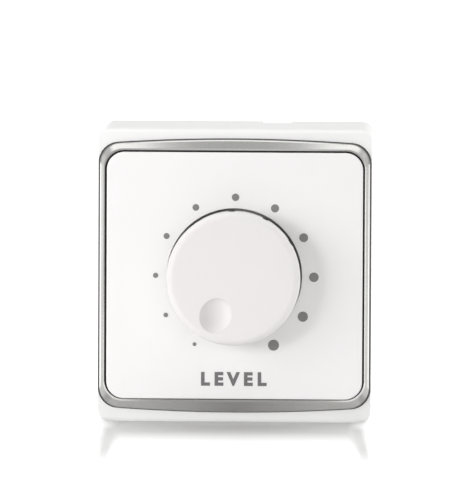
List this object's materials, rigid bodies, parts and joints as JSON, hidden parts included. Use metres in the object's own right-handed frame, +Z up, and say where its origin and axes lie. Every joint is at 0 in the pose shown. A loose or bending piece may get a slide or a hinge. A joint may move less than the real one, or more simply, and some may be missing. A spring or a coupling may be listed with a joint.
{
  "type": "speaker volume control",
  "caption": "Square surface-mounted speaker volume control: white box, silver trim, dotted face plate and a stepped rotary knob that picks the taps of a line transformer.",
  "frame": {"origin": "middle of the box's flat back, on the knob's axis, at the wall", "axes": "+Z up, +X to the right seen from the front, +Y into the wall along the knob's axis"},
  "size_m": [0.086, 0.0622, 0.0926],
  "materials": {
    "white_shell": "semi-gloss moulded plastic",
    "white_plate": "gloss moulded plastic",
    "white_knob": "satin moulded plastic",
    "satin_silver": "satin",
    "black_rubber": "matt",
    "grey_ink": "matt print",
    "brass": "turned",
    "plated_steel": "zinc plated",
    "spring_steel": "blued",
    "brown_phenolic": "moulded phenolic",
    "ivory_nylon": "moulded nylon",
    "dark_plastic": "moulded plastic",
    "copper": "pressed strip",
    "board_green": "solder mask",
    "lamination_steel": "stacked sheets",
    "winding_tape": "polyester tape",
    "terminal_green": "moulded plastic"
  },
  "bodies": {
    "housing": {"back_box": "white_shell", "box_inserts": "brass", "base_frame": "white_shell", "box_screws": "plated_steel", "trim_ring": "satin_silver", "gap_gasket": "black_rubber", "face_plate": "white_plate", "scale_dots": "grey_ink", "switch_bushing": "brass", "bushing_washer": "plated_steel", "bushing_nut": "plated_steel", "switch_plate": "plated_steel", "switch_case": "brown_phenolic", "switch_rivets": "plated_steel", "detent_spring": "spring_steel", "contact_pins": "copper", "common_contact": "copper", "circuit_board": "board_green", "board_screws": "plated_steel", "transformer_core": "lamination_steel", "transformer_bobbin": "dark_plastic", "transformer_winding": "winding_tape", "bobbin_pins": "plated_steel", "core_clamp": "plated_steel", "clamp_rivets": "plated_steel", "terminal_housing": "terminal_green", "terminal_cages": "brass", "terminal_screws": "plated_steel", "terminal_pins": "plated_steel"},
    "dial": {"knob": "white_knob", "knob_clip": "spring_steel", "switch_shaft": "plated_steel", "shaft_circlip": "spring_steel", "detent_wheel": "ivory_nylon", "switch_rotor": "dark_plastic", "wiper_contact": "copper"}
  },
  "joints": [
    {"name": "knob_turn", "type": "hinge", "parent": "housing", "child": "dial", "pos_m": [0, -0.044, 0], "axis": [0, 1, 0], "range_deg": [0, 300], "deforming": ["detent_spring"]}
  ]
}
